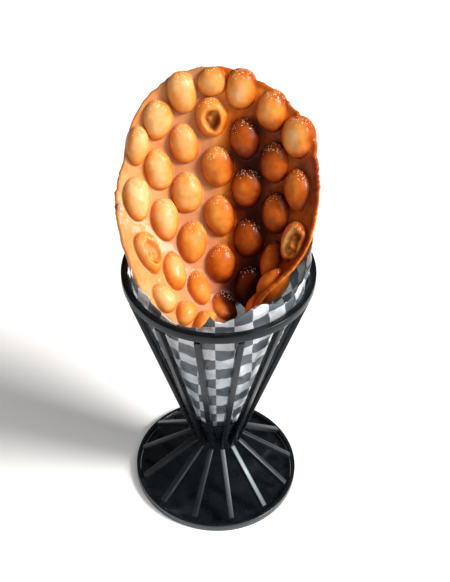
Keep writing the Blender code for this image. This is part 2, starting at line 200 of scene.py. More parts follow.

# What each cause adds to the browning, from 0 for pale to 1 for darkest. The right, right web, fold, tip
# and middle terms are painted shade, and the left and top-right terms are painted light.
EVEN_BROWNING = 0.20
PATCH_BROWNING = 0.34
MOTTLE_BROWNING = 0.13
BROWNING_STEP = 0.04
# The side term is browning all round, with painted shade on the bubbles' lower sides.
SIDE_BROWNING = 0.13
EDGE_BROWNING = 0.05
# The crest term is a painted highlight that makes crests paler.
CREST_PAINTED_HIGHLIGHT = 0.05
RIGHT_PAINTED_SHADE = 0.13
RIGHT_WEB_PAINTED_SHADE = 0.10
FOLD_PAINTED_SHADE = 0.24
TIP_PAINTED_SHADE = 0.46
MIDDLE_PAINTED_SHADE = 0.13
LEFT_PAINTED_LIGHT = 0.05
TOP_RIGHT_PAINTED_LIGHT = 0.09
# Where these set in on the flat sheet: none before the first value, all past the second.
RIGHT = (0.001, 0.021)
FAR_RIGHT = (0.045, 0.057)
LEFT = (0.030, 0.060)
UPPER = (0.014, 0.028)
TOP = (0.040, 0.052)
PAST_FOLD = (0.024, 0.042)
PAST_TIP = (0.026, 0.042)
TIP_ACROSS = (-0.010, 0.004)
TIP_DOWN = (0.046, 0.076)
CORNER_DOWN = (0.052, 0.072)
MIDDLE_ACROSS = (-0.016, -0.006)
MIDDLE_DOWN = (0.030, 0.056)
# Where the painted sheen on the web is full, and where it ends.
SHEEN_FULL = (-0.050, -0.030)
PAST_SHEEN = (-0.006, 0.004)

# Roll of the sheet: a cone about a tilted axis, bent along its length and curled at the top.
TIP_BELOW = 0.096
CONE_HALF_ANGLE = 48.36
TIP_POINT = (0.0202, -0.0032, 0.1694)
AXIS_TILT_X = -17.3
AXIS_TILT_Y = -19.7
AXIS_TURN = -3.7
SHEET_TURN = -11.8
BEND_FROM = 0.078
BEND_PER_METRE = -1.83
CURL_FROM = 0.171
CURL_PER_METRE = 30.0
OVAL_EVEN = 0.172
OVAL_SLANT = 0.033
OVAL_THREE = -0.094
LEFT_SHIFT = (0.0033, -0.0014, -0.0084)
RIGHT_SHIFT = (-0.0127, 0.0105, 0.0083)
LOW_SHIFT = (-0.0142, 0.0092, -0.0043)
SIDE_REACH = 0.0812
CORNER_FROM = -0.0172
CORNER_REACH = 0.1029
LOW_FROM = -0.0343
LOW_ACROSS_FROM = 0.0406
LOW_ACROSS_REACH = 0.0711
NORMAL_STEP = 0.0005

# Camera, as fitted to the photo: lens and sensor in millimetres.
LENS = 72.56
SENSOR = 36.0
CAMERA_PLACE = (0.0, -0.5903, 0.7548)
CAMERA_AIM = (0.0, 0.0, 0.1946)
CAMERA_ROLL = 3.04


# ---------------------------------------------------------------- helpers

def linear(hex_colour):
    """Return the linear colour of an sRGB hex string."""
    parts = [int(hex_colour[i:i + 2], 16) / 255 for i in (1, 3, 5)]
    return tuple(c / 12.92 if c <= 0.04045 else ((c + 0.055) / 1.055) ** 2.4
                 for c in parts) + (1.0,)


def hex_property(name, description, hex_colour):
    """Return a colour property whose default is an sRGB hex value."""
    return FloatVectorProperty(name=name, description=description, subtype="COLOR", size=4,
                               min=0.0, max=1.0, default=linear(hex_colour))


def length_property(name, description, metres):
    """Return a length property in metres."""
    return FloatProperty(name=name, description=description, default=metres, min=0.0,
                         unit="LENGTH", precision=5)


def add_node(tree, kind, settings=None, links=None):
    """Add a node, set its own settings and input values, and link its inputs."""
    node = tree.nodes.new(kind)
    for key, value in (settings or {}).items():
        if isinstance(key, str) and hasattr(node, key):
            setattr(node, key, value)
        else:
            node.inputs[key].default_value = value
    for key, source in (links or {}).items():
        tree.links.new(source, node.inputs[key])
    return node


def ramp(node, *stops):
    """Set a colour ramp's stops as (position, colour)."""
    band = node.color_ramp
    while len(band.elements) > 1:
        band.elements.remove(band.elements[-1])
    band.elements[0].position, band.elements[0].color = stops[0]
    for place, colour in stops[1:]:
        band.elements.new(place).color = colour
    return node


def new_material(name):
    """Return a material with an empty tree, its tree, and its output node."""
    material = bpy.data.materials.new(name)
    material.use_nodes = True
    material.node_tree.nodes.clear()
    output = material.node_tree.nodes.new("ShaderNodeOutputMaterial")
    return material, material.node_tree, output


def finished_piece(name, shape, material, nodes, smooth=True):
    """Turn a bmesh into a finished piece that rides on the body and stands for CAD nodes."""
    mesh = bpy.data.meshes.new(name)
    for face in shape.faces:
        face.smooth = smooth
    shape.to_mesh(mesh)
    shape.free()
    mesh.materials.append(material)
    piece = bpy.data.objects.new(name, mesh)
    bpy.context.scene.collection.objects.link(piece)
    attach(piece, BODY)
    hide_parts(*nodes)
    return piece


def set_attribute(mesh, name, values):
    """Store one number per vertex on a mesh."""
    layer = mesh.attributes.new(name, "FLOAT", "POINT")
    layer.data.foreach_set("value", np.asarray(values, dtype=np.float32))


def ease(value):
    """Return a smooth step of an array between 0 and 1."""
    value = np.clip(value, 0.0, 1.0)
    return value * value * (3.0 - 2.0 * value)


def past(value, start, end):
    """Return a smooth step from 0 at the start to 1 at the end, for an array."""
    return ease((value - start) / (end - start))


def rough(x, y, size, seed):
    """Return smooth random values from -1 to 1 over flat coordinates, a lump per size."""
    table = np.random.default_rng(seed).uniform(-1.0, 1.0, (97, 89))
    column, row = np.floor(x / size).astype(int), np.floor(y / size).astype(int)
    right, up = ease(x / size - column), ease(y / size - row)

    def corner(across, along):
        return table[(column + across) % 97, (row + along) % 89]
    low = corner(0, 0) * (1 - right) + corner(1, 0) * right
    high = corner(0, 1) * (1 - right) + corner(1, 1) * right
    return low * (1 - up) + high * up


def relief(x, y, layers):
    """Return the sum of random layers, each a height, a lump size and a seed."""
    return sum(height * rough(x, y, size, seed) for height, size, seed in layers)


def around(radius, angle, height):
    """Return a point at an angle from the front."""
    return Vector((radius * math.sin(angle), -radius * math.cos(angle), height))


def lean_matrix():
    """Return the small lean of the cone to the left, about the neck."""
    neck = Vector((0.0, 0.0, NECK_HEIGHT))
    lean = Matrix.Rotation(math.radians(-LEAN_LEFT), 4, "Y")
    return Matrix.Translation(neck) @ lean @ Matrix.Translation(-neck)


def bar_radius(height):
    """Return the radius of the bars' middle line at a height of the unleaned cone."""
    top = RING_RADIUS - RING_WIDTH / 2
    return NECK_RADIUS + (top - NECK_RADIUS) * (height - NECK_HEIGHT) / (RING_BOTTOM - NECK_HEIGHT)


def inside_bars(height):
    """Return the radius that just clears the bars on the inside."""
    slope = math.atan2(bar_radius(RING_BOTTOM) - NECK_RADIUS, RING_BOTTOM - NECK_HEIGHT)
    return bar_radius(height) - BAR_SIDE / 2 / math.cos(slope) - CLEARANCE


# ---------------------------------------------------------------- rolled sheet

def rolled(x, y):
    """Return points of the rolled sheet's middle surface, for arrays of flat coordinates."""
    turn = math.radians(SHEET_TURN)
    half = math.radians(CONE_HALF_ANGLE)
    across = x * math.cos(turn) - y * math.sin(turn)
    along = x * math.sin(turn) + y * math.cos(turn) + TIP_BELOW
    reach = np.hypot(across, along)
    angle = np.arctan2(across, along) / math.sin(half) + math.radians(AXIS_TURN)
    straight = np.minimum(reach, BEND_FROM)
    bent = half + BEND_PER_METRE * np.clip(reach - BEND_FROM, 0.0, CURL_FROM - BEND_FROM)
    curled = bent + CURL_PER_METRE * np.maximum(reach - CURL_FROM, 0.0)
    radius = (straight * math.sin(half) + (math.cos(half) - np.cos(bent)) / BEND_PER_METRE
              + (np.cos(bent) - np.cos(curled)) / CURL_PER_METRE)
    height = (straight * math.cos(half) + (np.sin(bent) - math.sin(half)) / BEND_PER_METRE
              + (np.sin(curled) - np.sin(bent)) / CURL_PER_METRE)
    radius = radius * (1.0 + OVAL_EVEN * (np.cos(2 * angle) - 1.0)
                       + OVAL_SLANT * np.sin(2 * angle) + OVAL_THREE * (np.cos(3 * angle) - 1.0))
    axis = np.array((math.sin(math.radians(AXIS_TILT_X)), math.sin(math.radians(AXIS_TILT_Y)), 1.0))
    axis = axis / np.linalg.norm(axis)
    back = np.array((0.0, 1.0, 0.0)) - axis * axis[1]
    back = back / np.linalg.norm(back)
    side = np.cross(back, axis)
    points = (np.array(TIP_POINT) + height[..., None] * axis
              + (radius * np.sin(angle))[..., None] * side
              + (radius * np.cos(angle))[..., None] * back)
    low = ease((CORNER_FROM - y) / CORNER_REACH)
    points = points + (ease(-x / SIDE_REACH) * low)[..., None] * np.array(LEFT_SHIFT)
    points = points + (ease(x / SIDE_REACH) * low)[..., None] * np.array(RIGHT_SHIFT)
    share = ease((LOW_FROM - y) / CORNER_REACH) * ease((LOW_ACROSS_FROM - x) / LOW_ACROSS_REACH)
    return points + share[..., None] * np.array(LOW_SHIFT)


def on_sheet(x, y, lift):
    """Return points at a lift off the rolled sheet, positive towards the hollow of the roll."""
    run = rolled(x + NORMAL_STEP, y) - rolled(x - NORMAL_STEP, y)
    rise = rolled(x, y + NORMAL_STEP) - rolled(x, y - NORMAL_STEP)
    normal = np.cross(run, rise)
    normal = normal / np.linalg.norm(normal, axis=-1, keepdims=True)
    return rolled(x, y) + lift[..., None] * normal


def sheet_reach(angle):
    """Return the distance from the sheet's middle to its outline, for an array of directions."""
    total = np.zeros_like(angle)
    for side, distance in SHEET_SIDES:
        total += (np.maximum(np.cos(angle - math.radians(side)), 0.0) / distance) ** SIDE_ROUNDING
    off = (np.degrees(angle) - SLIT_ANGLE + 180.0) % 360.0 - 180.0
    slit = SLIT_DEPTH * np.exp(-(off / SLIT_SPREAD) ** 2)
    places, extra = zip(*OUTLINE_TRIM)
    trim = np.interp(np.degrees(angle), places, extra)
    return total ** (-1.0 / SIDE_ROUNDING) * (1.0 - slit) + trim


def bubble_list():
    """Return each bubble's lattice place and its flat coordinates."""
    bubbles = []
    for column in range(-COLUMNS, COLUMNS + 1):
        count = LONGEST_COLUMN - abs(column)
        for index in range(count):
            row = LATTICE_MIDDLE + index - (count - 1) / 2
            if (column, row) in SLIT_BUBBLES:
                continue
            placed = MOVED_ROWS.get((column, row), row)
            aside = MOVED_ACROSS.get((column, row), 0.0)
            bubbles.append(((column, row), column * PITCH_X + aside, placed * PITCH_Y))
    return bubbles


def sheet_grid():
    """Return a closed bmesh of two square grids, their coordinates, and which is the inner one."""
    shape = bmesh.new()
    bmesh.ops.create_grid(shape, x_segments=SHEET_CELLS[0], y_segments=SHEET_CELLS[1], size=1.0)
    lifted = bmesh.ops.extrude_face_region(shape, geom=shape.faces[:])["geom"]
    corners = [part for part in lifted if isinstance(part, bmesh.types.BMVert)]
    bmesh.ops.translate(shape, verts=corners, vec=(0.0, 0.0, 1.0))
    shape.verts.ensure_lookup_table()
    square = np.array([vertex.co for vertex in shape.verts])
    return shape, square[:, 0], square[:, 1], square[:, 2] > 0.5


def laid_flat(across, along):
    """Lay a square on a disc, and the disc on the sheet's outline, with its rim nibbled inwards.

    Return flat coordinates, the distance in from the rim, and how ragged the rim is there.
    """
    round_x = across * np.sqrt(1.0 - along ** 2 / 2)
    round_y = along * np.sqrt(1.0 - across ** 2 / 2)
    share = np.hypot(round_x, round_y)
    angle = np.arctan2(round_y, round_x)
    reach = sheet_reach(angle)
    rim, level = reach * angle, reach * 0
    first, full, fading, last = RAGGED_ANGLES
    ragged = past(np.degrees(angle), first, full) * (1.0 - past(np.degrees(angle), fading, last))
    nibble = relief(rim, level, RIM_NIBBLES) - RIM_INSET
    nibble = nibble + ragged * (relief(rim, level, RAGGED_NIBBLES) - RAGGED_INSET)
    here = share * (reach + nibble * past(share, 0.8, 1.0))
    return (here * np.cos(angle), SHEET_MIDDLE_Y + here * np.sin(angle), reach + nibble - here,
            ragged)


def broken_open(place, x, y, off_x, off_y):
    """Return how far a broken bubble's skin drops, and how torn and scorched it is, at points."""
    (aside, ahead), (hole_x, hole_y), depth = BROKEN_BUBBLES[place]
    share_x, share_y = (off_x - aside) / hole_x, (off_y - ahead) / hole_y
    hole = np.hypot(share_x, share_y) * (1.0 + relief(x, y, HOLE_WOBBLE))
    gone = 1.0 - past(hole, *FALL_AT)
    floor = relief(x, y, HOLE_FLOOR) + HOLE_DOME * (1.0 - hole)
    bare = np.ones_like(hole)
    for (lump_x, lump_y), size in CRUMBS_INSIDE[place]:
        away = np.hypot(off_x - lump_x, off_y - lump_y) / size
        floor = floor + size * np.sqrt(np.clip(1.0 - away ** 2, 0.0, 1.0))
        bare = bare * past(away, 0.6, 1.1)
    lip = np.exp(-((hole - LIP_AT) / LIP_WIDTH) ** 2) * (1.0 + relief(x, y, LIP_ROUGHNESS))
    least, most = HOLE_SCORCH[place]
    burnt = gone * bare * (least + (most - least) * past(share_x - share_y, 0.0, 0.9))
    return gone * (depth - floor) - LIP_HEIGHT * lip, 1.0 - past(hole, *TORN_TO), burnt


def painted_light_and_shade(x, y, inner, crest):
    """Return painted shade and light as browning: darker on the shaded right, in the fold, the middle
    hollow and at the roll's tip, paler on the lit left and top right.
    """
    right, web = past(x, *RIGHT), 1.0 - crest
    lit_top_right = np.maximum(past(y, *TOP), past(x, *FAR_RIGHT) * past(y, *UPPER))
    fold = right * (1.0 - past(x, *PAST_FOLD))
    beside = past(x, *PAST_TIP)
    tip = past(-y, *TIP_DOWN) * past(x, *TIP_ACROSS) * (1.0 - beside)
    corner = past(-y, *CORNER_DOWN) * beside
    middle = past(-y, *MIDDLE_DOWN) * past(x, *MIDDLE_ACROSS)
    # Painted shade on the shaded right, its web, the fold, the tip and the middle hollow; painted light
    # on the lit top right and left.
    painted_shading = (RIGHT_PAINTED_SHADE * right * (1.0 - 0.95 * lit_top_right)
           + RIGHT_WEB_PAINTED_SHADE * right * web * (1.0 - 0.3 * lit_top_right)
           + FOLD_PAINTED_SHADE * fold * web * (1.0 - 0.7 * lit_top_right) + TIP_PAINTED_SHADE * tip)
    painted_shading = np.maximum(painted_shading, MIDDLE_PAINTED_SHADE * middle) - TOP_RIGHT_PAINTED_LIGHT * lit_top_right * right * crest
    return painted_shading * inner * (1.0 - 0.7 * corner) - LEFT_PAINTED_LIGHT * past(-x, *LEFT)


def waffle_shape(look):
    """Return the waffle as a bmesh, with per-vertex arrays that its material reads."""
    shape, across, along, inner = sheet_grid()
    x, y, to_edge, ragged = laid_flat(across, along)

    # Web: thinner and rounded off towards the rim, gently wavy, with fine dimples.
    half_web = look.web_thickness / 2
    round_off = np.sqrt(np.clip(1.0 - (1.0 - np.clip(to_edge / half_web, 0.0, 1.0)) ** 2, 0.0, 1.0))
    web = half_web * (0.25 + 0.75 * round_off)
    lift = np.where(inner, web, -web) + relief(x, y, WEB_WAVES) * np.where(inner, 1.0, 0.7)

    # Bubbles: eggs of their own size, height and turn, standing steeply off the web.
    random = np.random.default_rng(21)
    crest, upper_side, torn, tint, scorch = np.zeros((5, len(x)))
    flat_x, flat_y = x.copy(), y.copy()
    for place, middle_x, middle_y in bubble_list():
        wide, long = OWN_SIZES.get(place, (1.0, 1.0))
        wide = look.bubble_width / 2 * wide * random.uniform(*SIZE_SPREAD)
        long = look.bubble_length / 2 * long * random.uniform(*SIZE_SPREAD)
        tilt = math.radians(random.uniform(*TURN_SPREAD))
        egg = random.uniform(*EGG_SPREAD)
        stretch = random.uniform(*HEIGHT_SPREAD, 2)
        # Random tone, plus the listed steps, which are partly painted shade and light.
        shade = random.uniform(-1.0, 1.0) + OWN_TONE_AND_PAINTED_LIGHT.get(place, 0.0)
        off_x, off_y = flat_x - middle_x, flat_y - middle_y
        along_x = (off_x * math.cos(tilt) + off_y * math.sin(tilt)) / wide
        along_y = (-off_x * math.sin(tilt) + off_y * math.cos(tilt)) / long
        along_x = along_x * (1.0 + egg * along_y)
        wobble = rough(np.arctan2(along_y, along_x) * 0.01, off_x * 0, FOOT_WOBBLE_SIZE,
                       FOOT_WOBBLE_SEED + int(place[0] * 9 + place[1] * 2))
        out = np.hypot(along_x, along_y) * (1.0 + FOOT_WOBBLE * wobble)
        on = out < 1.0
        slant = np.clip(out[on], 0.0, 1.0) * math.pi / 2
        spread = np.sin(slant) / np.maximum(out[on], 1e-6)
        x[on] = middle_x + off_x[on] * spread
        y[on] = middle_y + off_y[on] * spread
        top = CROWDED_BUBBLES.get(place, look.bubble_height) * stretch[0]
        low = PRESSED_BUBBLES.get(place, look.bubble_height * OUTER_HEIGHT) * stretch[1]
        rounding = np.cos(slant) ** STEEPNESS
        rise = half_web + (np.where(inner[on], top, low) - half_web) * rounding
        rise = rise + relief(x[on], y[on], BUBBLE_LUMPS) * rounding ** 0.5
        if place in BROKEN_BUBBLES:
            drop, opened, burnt = (part * inner[on] for part in broken_open(
                place, x[on], y[on], x[on] - middle_x, y[on] - middle_y))
            rise = rise - drop
            torn[on] = np.maximum(torn[on], opened)
            scorch[on] = np.maximum(scorch[on], burnt)
        lift[on] = np.where(inner[on], rise, -rise)
        crest[on] = np.cos(slant)
        upper_side[on] = np.sin(slant) * off_y[on] / np.maximum(np.hypot(off_x[on], off_y[on]), 1e-6)
        tint[on] = shade * crest[on]

    low, high = (np.array(corner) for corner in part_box("waffle"))
    for vertex, point in zip(shape.verts, np.clip(on_sheet(x, y, lift), low, high)):
        vertex.co = point
    bmesh.ops.smooth_vert(shape, verts=shape.verts, factor=0.4, use_axis_x=True, use_axis_y=True,
                          use_axis_z=True)
    bmesh.ops.recalc_face_normals(shape, faces=shape.faces)

    # Painted sheen: the web between the left and middle columns is mixed towards a duller tan, standing
    # in for the light reflected off it.
    painted_web_sheen = (inner * (1.0 - past(crest, 0.0, 0.25)) * (1.0 - past(x, *PAST_SHEEN))
               * (0.5 + 0.5 * past(x, *SHEEN_FULL)))
    edge = 1.0 - past(to_edge, 0.0, EDGE_WIDTH)
    for (spot_x, spot_y), size in SCORCHED_SPOTS:
        away = np.hypot(x - spot_x, y - spot_y) / size * (1.0 + relief(x, y, SPOT_WOBBLE))
        scorch = np.maximum(scorch, 0.9 * (1.0 - past(away, 0.25, 1.25)))
    scorch = np.maximum(scorch, 0.6 * edge * ragged * (0.7 + relief(x, y, RIM_SCORCH)))
    # The extra browning from the sheet's place is painted shade and light.
    return shape, {"crest": crest, "upper_side": upper_side, "torn": torn, "edge": edge,
                   "tint": tint, "painted_shading": painted_light_and_shade(x, y, inner, crest), "scorch": scorch,
                   "painted_web_sheen": painted_web_sheen}


# ---------------------------------------------------------------- materials

def baked_batter(look):
    """Baked egg batter: a glossy, slightly translucent skin, browned where it met the iron, with painted
    shade, painted light, painted glints and a painted sheen.
    """
    material, tree, output = new_material("baked_egg_batter")
    place = add_node(tree, "ShaderNodeTexCoord").outputs["Object"]

    def attribute(name):
        return add_node(tree, "ShaderNodeAttribute", {"attribute_name": name}).outputs["Fac"]

    def noise(size, detail=4.0, roughness=0.55):
        return add_node(tree, "ShaderNodeTexNoise",
                        {"Scale": 1.0 / size, "Detail": detail, "Roughness": roughness},
                        {"Vector": place}).outputs["Fac"]

    def math_node(kind, first, second):
        node = add_node(tree, "ShaderNodeMath", {"operation": kind})
        for index, value in enumerate((first, second)):
            if isinstance(value, (int, float)):
                node.inputs[index].default_value = value
            else:
                tree.links.new(value, node.inputs[index])
        return node.outputs[0]

    crest = attribute("crest")
    # Browning in patches about 14 mm across, broken up by faint mottling of 3 mm.
    patches, mottle = noise(0.014, 2.0), noise(0.0030, 4.0)
    # Crests are palest, a painted highlight; the steep sides just above the web are browned all round,
    # and painted shade darkens their lower sides more.
    side = math_node("MULTIPLY", math_node("SUBTRACT", 1.0, crest),
                     math_node("GREATER_THAN", crest, 0.001))
    shaded_below = math_node("SUBTRACT", 0.75, math_node("MULTIPLY", attribute("upper_side"), 0.5))
    # Painted shade and light of the sheet's place is added to the browning here.
    toast = math_node("ADD", EVEN_BROWNING, attribute("painted_shading"))
    for cause, share in ((patches, PATCH_BROWNING), (mottle, MOTTLE_BROWNING),
                         (attribute("tint"), BROWNING_STEP), (crest, -CREST_PAINTED_HIGHLIGHT),
                         (math_node("MULTIPLY", side, shaded_below), SIDE_BROWNING),
                         (attribute("edge"), EDGE_BROWNING)):
        toast = math_node("ADD", toast, math_node("MULTIPLY", cause, share))
    # The darkest stop is reached mostly where painted shade adds to the browning.
    colour = ramp(add_node(tree, "ShaderNodeValToRGB", None, {"Fac": toast}),
                  (0.26, look.pale), (0.42, look.gold), (0.57, look.amber), (0.74, look.deep),
                  (0.92, look.painted_shade_darkest)).outputs["Color"]
    # Painted glints: specks of highlight on the bubbles' upper sides, 0.3 to 0.8 mm; drawn from a 1.5 mm
    # cell pattern so that they show.
    cells = add_node(tree, "ShaderNodeTexVoronoi", {"Scale": 1.0 / 0.0015, "Randomness": 1.0},
                     {"Vector": place}).outputs["Distance"]
    # Painted glints go on the upper sides of the bubbles, in clusters.
    where = math_node("MULTIPLY", attribute("upper_side"), noise(0.006, 2.0))
    painted_glint = math_node("MULTIPLY", math_node("LESS_THAN", cells, 0.27),
                      math_node("GREATER_THAN", where, 0.31))
    # Over the browning: the painted sheen on the web, paler torn insides, scorching, and painted glints
    # on the bubbles.
    for share, over in ((math_node("MULTIPLY", attribute("painted_web_sheen"), 0.62), look.web_sheen_colour),
                        (math_node("MULTIPLY", attribute("torn"), 0.45), look.crumb),
                        (attribute("scorch"), look.scorched),
                        (math_node("MULTIPLY", painted_glint, 0.92), look.painted_glint)):
        colour = add_node(tree, "ShaderNodeMix", {"data_type": "RGBA", 7: over},
                          {0: share, 6: colour}).outputs[2]
    fine = math_node("ADD", math_node("MULTIPLY", mottle, 0.5), noise(0.0009, 3.0))
    fine = math_node("ADD", fine, math_node("MULTIPLY", painted_glint, 0.8))
    bump = add_node(tree, "ShaderNodeBump", {"Strength": 0.17, "Distance": 0.0005}, {"Height": fine})
    shader = add_node(tree, "ShaderNodeBsdfPrincipled", {
        "Roughness": 0.42, "IOR": 1.45, "Specular IOR Level": 0.16, "Subsurface Weight": 0.30,
        "Subsurface Radius": (1.0, 0.30, 0.09), "Subsurface Scale": 0.0040,
        "Coat Weight": 0.15, "Coat Roughness": 0.16},
        {"Base Color": colour, "Normal": bump.outputs["Normal"]})
    tree.links.new(shader.outputs[0], output.inputs["Surface"])
    return material


def liner_paper(look):
    """Waxed greaseproof paper, printed with a plain check: soft shine, a little light through."""
    material, tree, output = new_material("waxed_paper_checked")
    chart = add_node(tree, "ShaderNodeUVMap", {"uv_map": "paper"}).outputs["UV"]
    checks = add_node(tree, "ShaderNodeTexChecker", {
        "Color1": look.ink, "Color2": look.paper, "Scale": 1.0 / look.check_size},
        {"Vector": chart})
    place = add_node(tree, "ShaderNodeTexCoord").outputs["Object"]
    # Painted shade of crumples: the tone drifts darker at random over about 12 mm.
    painted_crumple_shade = add_node(tree, "ShaderNodeTexNoise", {"Scale": 1.0 / 0.012, "Detail": 3.0},
                     {"Vector": place})
    tone = ramp(add_node(tree, "ShaderNodeValToRGB", None, {"Fac": painted_crumple_shade.outputs["Fac"]}),
                (0.32, (0.66, 0.67, 0.69, 1.0)), (0.62, (1.0, 1.0, 1.0, 1.0)))
    print_with_painted_shade = add_node(tree, "ShaderNodeMix", {"data_type": "RGBA", "blend_type": "MULTIPLY", 0: 1.0},
                          {6: checks.outputs["Color"], 7: tone.outputs["Color"]})
    # Fibres are finer than 0.1 mm; drawn at 1.1 mm so that they show.
    fibre = add_node(tree, "ShaderNodeTexNoise", {"Scale": 1.0 / 0.00111, "Detail": 3.0},
                     {"Vector": place})
    bump = add_node(tree, "ShaderNodeBump", {"Strength": 0.15, "Distance": 0.0002},
                    {"Height": fibre.outputs["Fac"]})
    shader = add_node(tree, "ShaderNodeBsdfPrincipled", {
        "Roughness": 0.40, "IOR": 1.45, "Subsurface Weight": 0.6,
        "Subsurface Radius": (1.0, 1.0, 1.0), "Subsurface Scale": 0.0015},
        {"Base Color": print_with_painted_shade.outputs[2], "Normal": bump.outputs["Normal"]})
    tree.links.new(shader.outputs[0], output.inputs["Surface"])
    return material


def coated_steel(look, name="powder_coated_steel", shine=0.3, smoothest=0.20, roughest=0.34):
    """Powder-coated steel: satin black with a fine orange peel that softens the highlights."""
    material, tree, output = new_material(name)
    place = add_node(tree, "ShaderNodeTexCoord").outputs["Object"]
    # Orange peel is about 0.8 mm; drawn at 1.2 mm so that it shows.
    peel = add_node(tree, "ShaderNodeTexNoise", {"Scale": 1.0 / 0.0012, "Detail": 2.0},
                    {"Vector": place})
    wear = add_node(tree, "ShaderNodeTexNoise", {"Scale": 1.0 / 0.009, "Detail": 5.0},
                    {"Vector": place})
    rough_range = add_node(tree, "ShaderNodeMapRange", {"To Min": smoothest, "To Max": roughest},
                           {"Value": wear.outputs["Fac"]})
    tone = ramp(add_node(tree, "ShaderNodeValToRGB", None, {"Fac": wear.outputs["Fac"]}),
                (0.3, look.steel), (0.7, look.steel_worn))
    bump = add_node(tree, "ShaderNodeBump", {"Strength": 0.12, "Distance": 0.0002},
                    {"Height": peel.outputs["Fac"]})
    shader = add_node(tree, "ShaderNodeBsdfPrincipled", {
        "IOR": 1.5, "Specular IOR Level": shine, "Specular Tint": (0.78, 0.90, 1.0, 1.0)}, {
        "Base Color": tone.outputs["Color"], "Roughness": rough_range.outputs["Result"],
        "Normal": bump.outputs["Normal"]})
    tree.links.new(shader.outputs[0], output.inputs["Surface"])
    return material


def glossy_steel(look):
    """The same coat on the base, rubbed smoother by hands and tables, so it mirrors the window more."""
    return coated_steel(look, "powder_coated_steel_rubbed", 0.9)


def dusty_steel(look):
    """The same coat on the spokes, whose tops gather dust, so the window spreads along them."""
    return coated_steel(look, "powder_coated_steel_dusty", 1.0, 0.36, 0.50)


def stage_floor(look):
    """Matt painted board for the floor."""
    material, tree, output = new_material("matt_painted_board")
    shader = add_node(tree, "ShaderNodeBsdfPrincipled", {
        "Base Color": look.floor, "Roughness": 0.9, "Specular IOR Level": 0.1,
        "Emission Color": look.floor, "Emission Strength": 0.25})
    tree.links.new(shader.outputs[0], output.inputs["Surface"])
    return material


def material_named(name, make, look):
    """Return a material, made once."""
    return bpy.data.materials.get(name) or make(look)


# ---------------------------------------------------------------- sizes and colours

class WaffleLook(bpy.types.PropertyGroup):
    """Sizes and colours of the waffle."""
    web_thickness: length_property("Web thickness", "Thickness between bubbles", 0.0034)
    bubble_width: length_property("Bubble width", "Across one bubble", 0.0208)
    bubble_length: length_property("Bubble length", "Along one bubble", 0.0276)
    bubble_height: length_property("Bubble height", "From the web's middle to a crest", 0.0098)
    pale: hex_property("Pale", "Least baked batter", "#F9C488")
    gold: hex_property("Gold", "Evenly baked batter", "#F09A40")
    amber: hex_property("Amber", "Well baked batter", "#CE6416")
    deep: hex_property("Deep", "Browned batter", "#7A2A06")
    # Darkest stop, reached mostly where painted shade darkens the fold and the tip.
    painted_shade_darkest: hex_property("Darkest", "Batter baked longest", "#431204")
    scorched: hex_property("Scorched", "Dark crumbs and torn edges", "#7C2A0A")
    # Colour of the painted sheen on the web between the left and middle columns.
    web_sheen_colour: hex_property("Dry web", "Web where it dried out", "#B8856B")
    crumb: hex_property("Crumb", "Torn inside of a bubble", "#EA9438")
    # Colour of the painted glints on the bubbles' upper sides.
    painted_glint: hex_property("Fleck", "Dry flecks on the bubbles", "#FFEBCB")


class LinerLook(bpy.types.PropertyGroup):
    """Sizes and colours of the paper liner."""
    thickness: length_property("Paper thickness", "Thickness of the paper", 0.0003)
    check_size: length_property("Check size", "Side of one printed check", 0.0142)
    paper: hex_property("Paper", "Bare paper", "#DFEBF6")
    ink: hex_property("Ink", "Printed checks", "#59656F")


class StandLook(bpy.types.PropertyGroup):
    """Sizes and colours of the stand."""
    edge_round: length_property("Edge rounding", "Rounding of the square bars' edges", 0.0005)
    steel: hex_property("Coating", "Black powder coat", "#0A0D10")
    steel_worn: hex_property("Dusty coating", "Powder coat where it is a little dusty", "#14191E")


class StageLook(bpy.types.PropertyGroup):
    """Floor, light and camera."""
    floor: hex_property("Floor", "Floor colour", "#F4F4F4")
    key_power: FloatProperty(name="Key power", description="Strength of the key light", default=4.5)
    fill_power: FloatProperty(name="Fill power", description="Power of the window light", default=5.4)
    world_light: FloatProperty(name="World light", description="Strength of the sky", default=0.07)


# ---------------------------------------------------------------- pieces

class OBJECT_OT_waffle(bpy.types.Operator):
    """Model the rolled bubble waffle"""
    bl_idname = "waffle_stand.waffle"
    bl_label = "Bubble waffle"

    def execute(self, context):
        look = context.scene.waffle_look
        shape, marks = waffle_shape(look)
        material = material_named("baked_egg_batter", baked_batter, look)
        piece = finished_piece("bubble_waffle", shape, material, ["waffle"])
        for name, values in marks.items():
            set_attribute(piece.data, name, values)
        return {"FINISHED"}


def liner_top(angle):
    """Return the height of the liner's top edge, for an array of angles from the front."""
    degrees = (np.degrees(angle) + 180.0) % 360.0 - 180.0
    places, heights = zip(*LINER_EDGE)
    return np.interp(degrees, places, heights)


